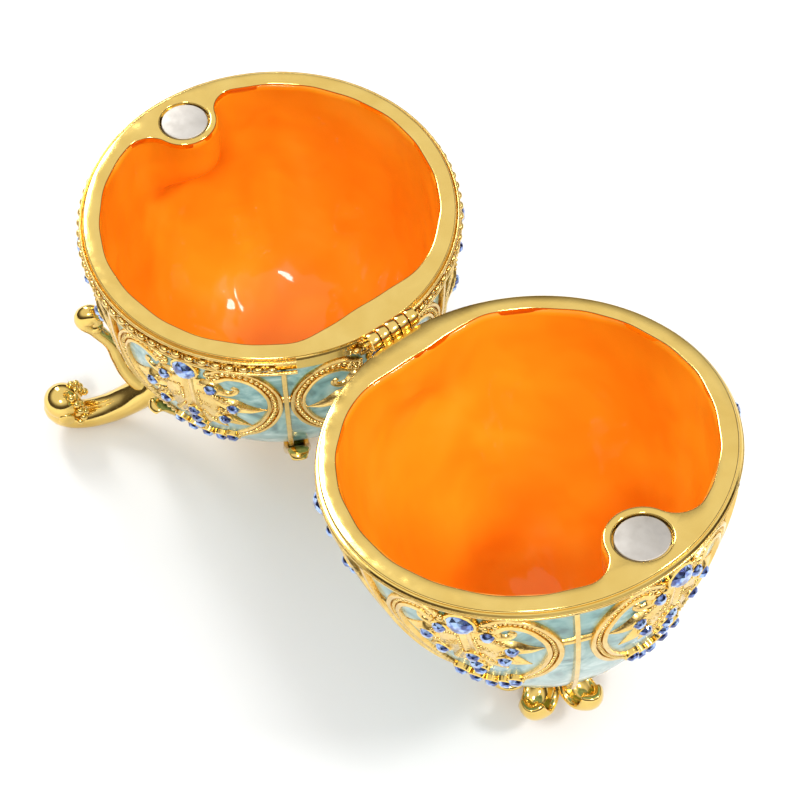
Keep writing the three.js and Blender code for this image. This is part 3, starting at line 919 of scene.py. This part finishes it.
# ---- hinge ------------------------------------------------------------------------------------
# A five-knuckle barrel: three knuckles on the base's leaf, two on the lid's, each leaf let into
# its pad, and a gilt pin through them all.
KNUCKLE_RADIUS = 0.05 * RIM
KNUCKLE_LENGTH = 1.2 * MM
KNUCKLE_STEP = KNUCKLE_LENGTH + 0.12 * MM
KNUCKLES = 5
LEAF_THICK = 0.8 * MM


def knuckle(place, under):
    y = (place - (KNUCKLES - 1) / 2) * KNUCKLE_STEP
    bpy.ops.mesh.primitive_cylinder_add(
        vertices=36, radius=KNUCKLE_RADIUS, depth=KNUCKLE_LENGTH, location=(HINGE_REACH, y, 0),
        rotation=(math.pi / 2, 0, 0))
    barrel = bpy.context.object
    reach = HINGE_REACH - (RIM - 1.7 * MM)
    bpy.ops.mesh.primitive_cube_add(
        size=1, location=(HINGE_REACH - reach / 2, y, RIM_GAP + under + LEAF_THICK / 2),
        scale=(reach, KNUCKLE_LENGTH, LEAF_THICK))
    return join([barrel, bpy.context.object], "knuckle")


def hinge_leaf(name, places, under):
    leaf = join([knuckle(place, under) for place in places], f"{name}_knuckles")
    pick(leaf)
    bpy.ops.object.transform_apply(location=True, rotation=True, scale=True)
    modify(leaf, "BEVEL", width=0.12 * MM, segments=2, limit_method="ANGLE", angle_limit=math.radians(50))
    smooth(leaf, 40)
    return leaf


for name, places, under in (("base", (0, 2, 4), 0.2 * MM), ("lid", (1, 3), 0.03 * MM)):
    leaf = hinge_leaf(name, places, under)
    set_down(leaf, name, GOLD_POLISHED)
    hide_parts(f"{name}_hinge_leaf")
frame["nodes"]["hinge_pin"].data.materials.clear()
frame["nodes"]["hinge_pin"].data.materials.append(GOLD_POLISHED)

# ---- legs -------------------------------------------------------------------------------------
# Three cast S-scrolls soldered under the base. Each starts in a ball clear of the skin, runs down
# as a strip held off it by short bridges, and sweeps out to a foot that curls up in a volute.
LEG_ANGLES = [math.radians(degrees) for degrees in (0, 120, 240)]


def on_leg(points):
    return [Vector((out * RIM, 0, height * RIM)) for out, height in points]


def rod(points, radii, name, sides=7):
    path = stroke(points, radii)
    path.data.bevel_depth = 1.0
    path.data.bevel_resolution = sides
    path.data.use_fill_caps = True
    path.data.resolution_u = 8
    return to_mesh(path, name)


def one_leg():
    strip = on_leg([(1.045, -0.815), (1.06, -0.75), (1.11, -0.775), (1.06, -0.895), (0.995, -1.04),
                    (0.97, -1.2), (0.93, -1.36), (0.87, -1.46), (0.8, -1.5)])
    strip_thick = [0.046, 0.055, 0.056, 0.045, 0.04, 0.042, 0.05, 0.06, 0.07]
    foot = on_leg([(0.6, -1.35), (0.72, -1.43), (0.84, -1.535), (0.98, -1.635), (1.12, -1.7),
                   (1.25, -1.72), (1.34, -1.695), (1.385, -1.625), (1.37, -1.56)])
    foot_thick = [0.085, 0.098, 0.1, 0.094, 0.09, 0.088, 0.088, 0.09, 0.09]
    pieces = [rod(strip, [t * RIM for t in strip_thick], "strip"),
              rod(foot, [t * RIM for t in foot_thick], "foot")]
    for x, z, size in ((1.085, -0.765, 0.06), (1.06, -0.86, 0.05), (1.355, -1.56, 0.112)):
        bpy.ops.mesh.primitive_uv_sphere_add(
            segments=32, ring_count=18, radius=size * RIM, location=(x * RIM, 0, z * RIM))
        pieces.append(bpy.context.object)
    for side in (-1, 1):
        bpy.ops.mesh.primitive_cylinder_add(
            vertices=32, radius=0.05 * RIM, depth=0.06 * RIM, rotation=(math.pi / 2, 0, 0),
            location=(1.34 * RIM, side * 0.09 * RIM, -1.6 * RIM))
        eye = bpy.context.object
        modify(eye, "BEVEL", width=0.014 * RIM, segments=3, limit_method="ANGLE")
        pieces.append(eye)
        for x, y, z in ((1.29, 0.05, -1.475), (1.265, 0.075, -1.505), (1.245, 0.05, -1.54),
                        (1.25, 0.088, -1.555), (1.225, 0.07, -1.59), (1.24, 0.095, -1.615),
                        (1.265, 0.1, -1.65), (1.27, 0.03, -1.50)):
            pieces.append(bead(0.024 * RIM, (x * RIM, side * y * RIM, z * RIM)))
    for height in (-1.07, -1.22):
        skin = radius_at(HALVES["base"], -height * RIM) + 0.1 * MM
        bpy.ops.mesh.primitive_cube_add(
            size=1, location=((skin + 0.97 * RIM) / 2, 0, height * RIM),
            scale=(0.97 * RIM - skin, 0.06 * RIM, 0.04 * RIM))
        bridge = bpy.context.object
        pick(bridge)
        bpy.ops.object.transform_apply(location=True, rotation=True, scale=True)
        modify(bridge, "BEVEL", width=0.012 * RIM, segments=2)
        pieces.append(bridge)
    leg = join(pieces, "leg")
    pick(leg)
    bpy.ops.object.transform_apply(location=True, rotation=True, scale=True)
    return leg


def flatten_foot(piece):
    """Cuts the foot off level with the table."""
    edit(piece)
    bpy.ops.mesh.bisect(
        plane_co=(0, 0, -STAND), plane_no=(0, 0, 1), clear_inner=True, use_fill=True,
        threshold=CUT_TOLERANCE)
    bpy.ops.object.mode_set(mode="OBJECT")


model_leg = one_leg()
flatten_foot(model_leg)
for i in range(3):
    pick(model_leg)
    bpy.ops.object.duplicate()
    leg = bpy.context.object
    leg.name = f"scroll_leg_{i + 1}"
    leg.matrix_world = Matrix.Translation(base_centre) @ Matrix.Rotation(LEG_ANGLES[i], 4, "Z")
    pick(leg)
    bpy.ops.object.transform_apply(location=True, rotation=True, scale=True)
    leg.data.materials.clear()
    leg.data.materials.append(GOLD_POLISHED)
    smooth(leg, 40)
    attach(leg, "base")
    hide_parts(f"leg_{i + 1}")
bpy.data.objects.remove(model_leg)

# ---- leaf collar and crown --------------------------------------------------------------------
# A shallow cup of six leaves under the base, between the legs, and the crown on the lid's tip:
# six thick petals that rise along the axis and curl outwards, hollow-faced, round a small hub.


def curled_leaf(name, line, widths, cupping, thick, rows=14, columns=8):
    """A thick leaf bent along a line of (out, height) in rim radii, hollow along its middle."""
    path = to_mesh(stroke(on_leg(line)), "line")
    spots = [v.co.copy() for v in path.data.vertices]
    bpy.data.objects.remove(path)

    def place_of(along, across):
        reach = along * (len(spots) - 1)
        first = min(int(reach), len(spots) - 2)
        centre = spots[first].lerp(spots[first + 1], reach - first)
        ahead = (spots[first + 1] - spots[first]).normalized()
        out = Vector((ahead.z, 0, -ahead.x))
        knot = along * (len(widths) - 1)
        left = min(int(knot), len(widths) - 2)
        width = widths[left] + (widths[left + 1] - widths[left]) * (knot - left)
        edge = (across - 0.5) * 2
        return centre + Vector((0, edge * width * RIM, 0)) - out * (1 - edge**2) * cupping * RIM

    leaf = bent_sheet(name, rows, columns, place_of)
    modify(leaf, "SOLIDIFY", thickness=thick * RIM, offset=0)
    modify(leaf, "SUBSURF", levels=1, render_levels=1)
    return leaf


def leaf_ring(name, leaf, hub, start):
    pick(leaf)
    leaf.matrix_world = Matrix.Rotation(start, 4, "Z") @ leaf.matrix_world
    bpy.ops.object.transform_apply(location=True, rotation=True, scale=True)
    ring = turned_copies(leaf, PANELS, 2 * math.pi)
    whole = join([ring, hub], name)
    edit(whole)
    bpy.ops.mesh.normals_make_consistent(inside=False)
    bpy.ops.object.mode_set(mode="OBJECT")
    smooth(whole, 60)
    return whole


collar_leaf = curled_leaf("collar leaf", [(0.42, -1.53), (0.57, -1.47), (0.68, -1.37), (0.765, -1.25),
                                          (0.84, -1.14), (0.885, -1.09), (0.905, -1.115)],
                          [0.05, 0.075, 0.08, 0.075, 0.065, 0.055, 0.035], 0.018, 0.03)
collar_cup = spun("cup", [(out * RIM, height * RIM) for out, height in (
    (0, -1.62), (0.32, -1.605), (0.48, -1.54), (0.55, -1.44), (0.5, -1.43), (0.3, -1.52), (0, -1.575))], 48)
collar = leaf_ring("collar", collar_leaf, collar_cup, PANEL_ANGLE / 2)
collar.matrix_world = Matrix.Translation(base_centre)
pick(collar)
bpy.ops.object.transform_apply(location=True, rotation=True, scale=True)
collar.data.materials.clear()
collar.data.materials.append(GOLD_POLISHED)
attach(collar, "base")
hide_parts("leaf_collar")

petal = curled_leaf("petal", [(0.10, 1.65), (0.13, 1.70), (0.15, 1.765), (0.18, 1.83), (0.23, 1.865),
                              (0.28, 1.86), (0.305, 1.81), (0.30, 1.77)],
                    [0.06, 0.075, 0.088, 0.095, 0.095, 0.085, 0.07, 0.05], 0.06, 0.045)
crown_hub = spun("hub", [(out * RIM, height * RIM) for out, height in (
    (0, 1.637), (0.13, 1.617), (0.185, 1.598), (0.2, 1.63), (0.15, 1.71), (0, 1.73))], 40)
crown = leaf_ring("crown", petal, crown_hub, 0.0)
set_down(crown, "lid", GOLD_POLISHED)
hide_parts("crown_finial")
